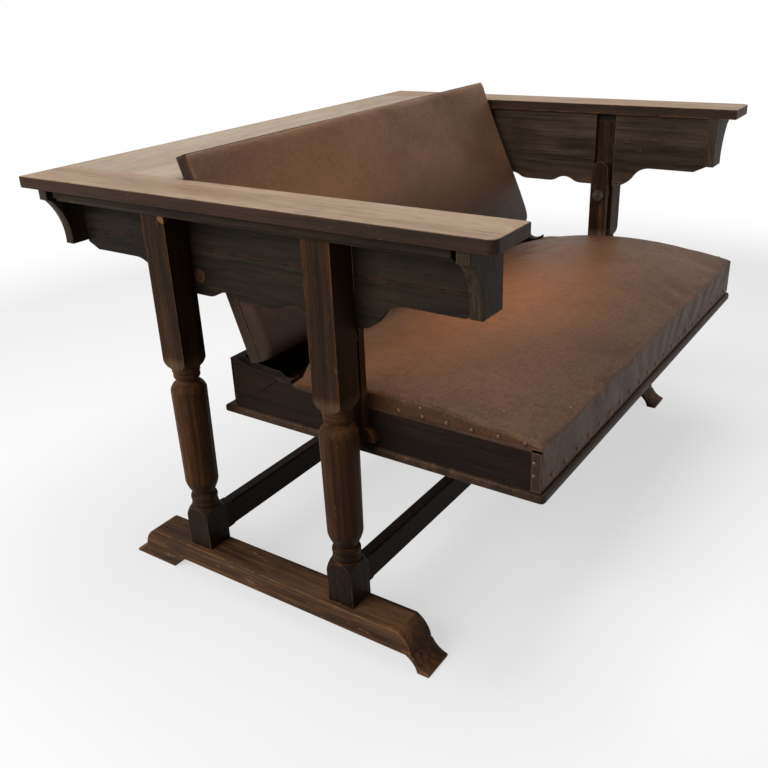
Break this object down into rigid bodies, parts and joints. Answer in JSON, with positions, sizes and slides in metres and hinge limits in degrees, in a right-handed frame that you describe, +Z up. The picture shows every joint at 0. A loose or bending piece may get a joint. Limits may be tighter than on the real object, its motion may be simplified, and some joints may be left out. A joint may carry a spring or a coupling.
{
  "type": "settle table",
  "caption": "Dark wood settle table: padded seat and back between wide arm boards, on sledge feet with turned legs; the seat turns over to close the table top.",
  "frame": {"origin": "on the floor under the middle of the whole piece, as its box has it with the seat down", "axes": "+X along the bench to the sitter's left, +Y to the rear, +Z up"},
  "size_m": [1.2, 0.943, 0.7797],
  "materials": {
    "dark_oak": "waxed, worn at the edges",
    "worn_oak_boards": "worn and faded, satin",
    "inner_wood": "plain",
    "leather": "worn brown hide",
    "iron": "darkened iron",
    "tacks": "dark antique brass"
  },
  "bodies": {
    "frame": {"apron_long_left": "dark_oak", "apron_long_right": "dark_oak", "apron_short_left": "dark_oak", "apron_short_right": "dark_oak", "arm_board_left": "worn_oak_boards", "arm_board_right": "worn_oak_boards", "bracket_front_left": "dark_oak", "bracket_front_right": "dark_oak", "bracket_rear_left": "dark_oak", "bracket_rear_right": "dark_oak", "foot_left": "dark_oak", "foot_right": "dark_oak", "leg_front_left": "dark_oak", "leg_front_right": "dark_oak", "leg_rear_left": "dark_oak", "leg_rear_right": "dark_oak", "pivot_collar_left": "iron", "pivot_collar_right": "iron", "pivot_pin_left": "iron", "pivot_pin_right": "iron", "rear_board": "worn_oak_boards", "stretcher_front": "dark_oak", "stretcher_rear": "dark_oak", "top_rail_left": "dark_oak", "top_rail_right": "dark_oak"},
    "seat": {"seat_arm_left": "dark_oak", "seat_arm_right": "dark_oak", "seat_base": "dark_oak", "seat_cross_rail": "inner_wood", "seat_cushion": "leather", "seat_deck": "inner_wood", "seat_front_rail": "inner_wood", "seat_panel_left": "dark_oak", "seat_panel_right": "dark_oak", "seat_rear_wall": "dark_oak", "seat_tacks": "tacks"},
    "back": {"back_board": "dark_oak", "back_cushion": "leather", "back_dowel_left": "dark_oak", "back_dowel_right": "dark_oak", "back_pivot_rail": "dark_oak", "back_tacks": "tacks"}
  },
  "joints": [
    {"name": "seat_turn", "type": "hinge", "parent": "frame", "child": "seat", "pos_m": [0, -0.1465, 0.5335], "axis": [-1, 0, 0], "range_deg": [0, 180]},
    {"name": "back_fold", "type": "hinge", "parent": "frame", "child": "back", "pos_m": [0, 0.1405, 0.59], "axis": [1, 0, 0], "range_deg": [0, 109]}
  ],
  "couplings": [
    {"joint": "back_fold", "follows": "seat_turn", "ratio": 0.60556}
  ]
}
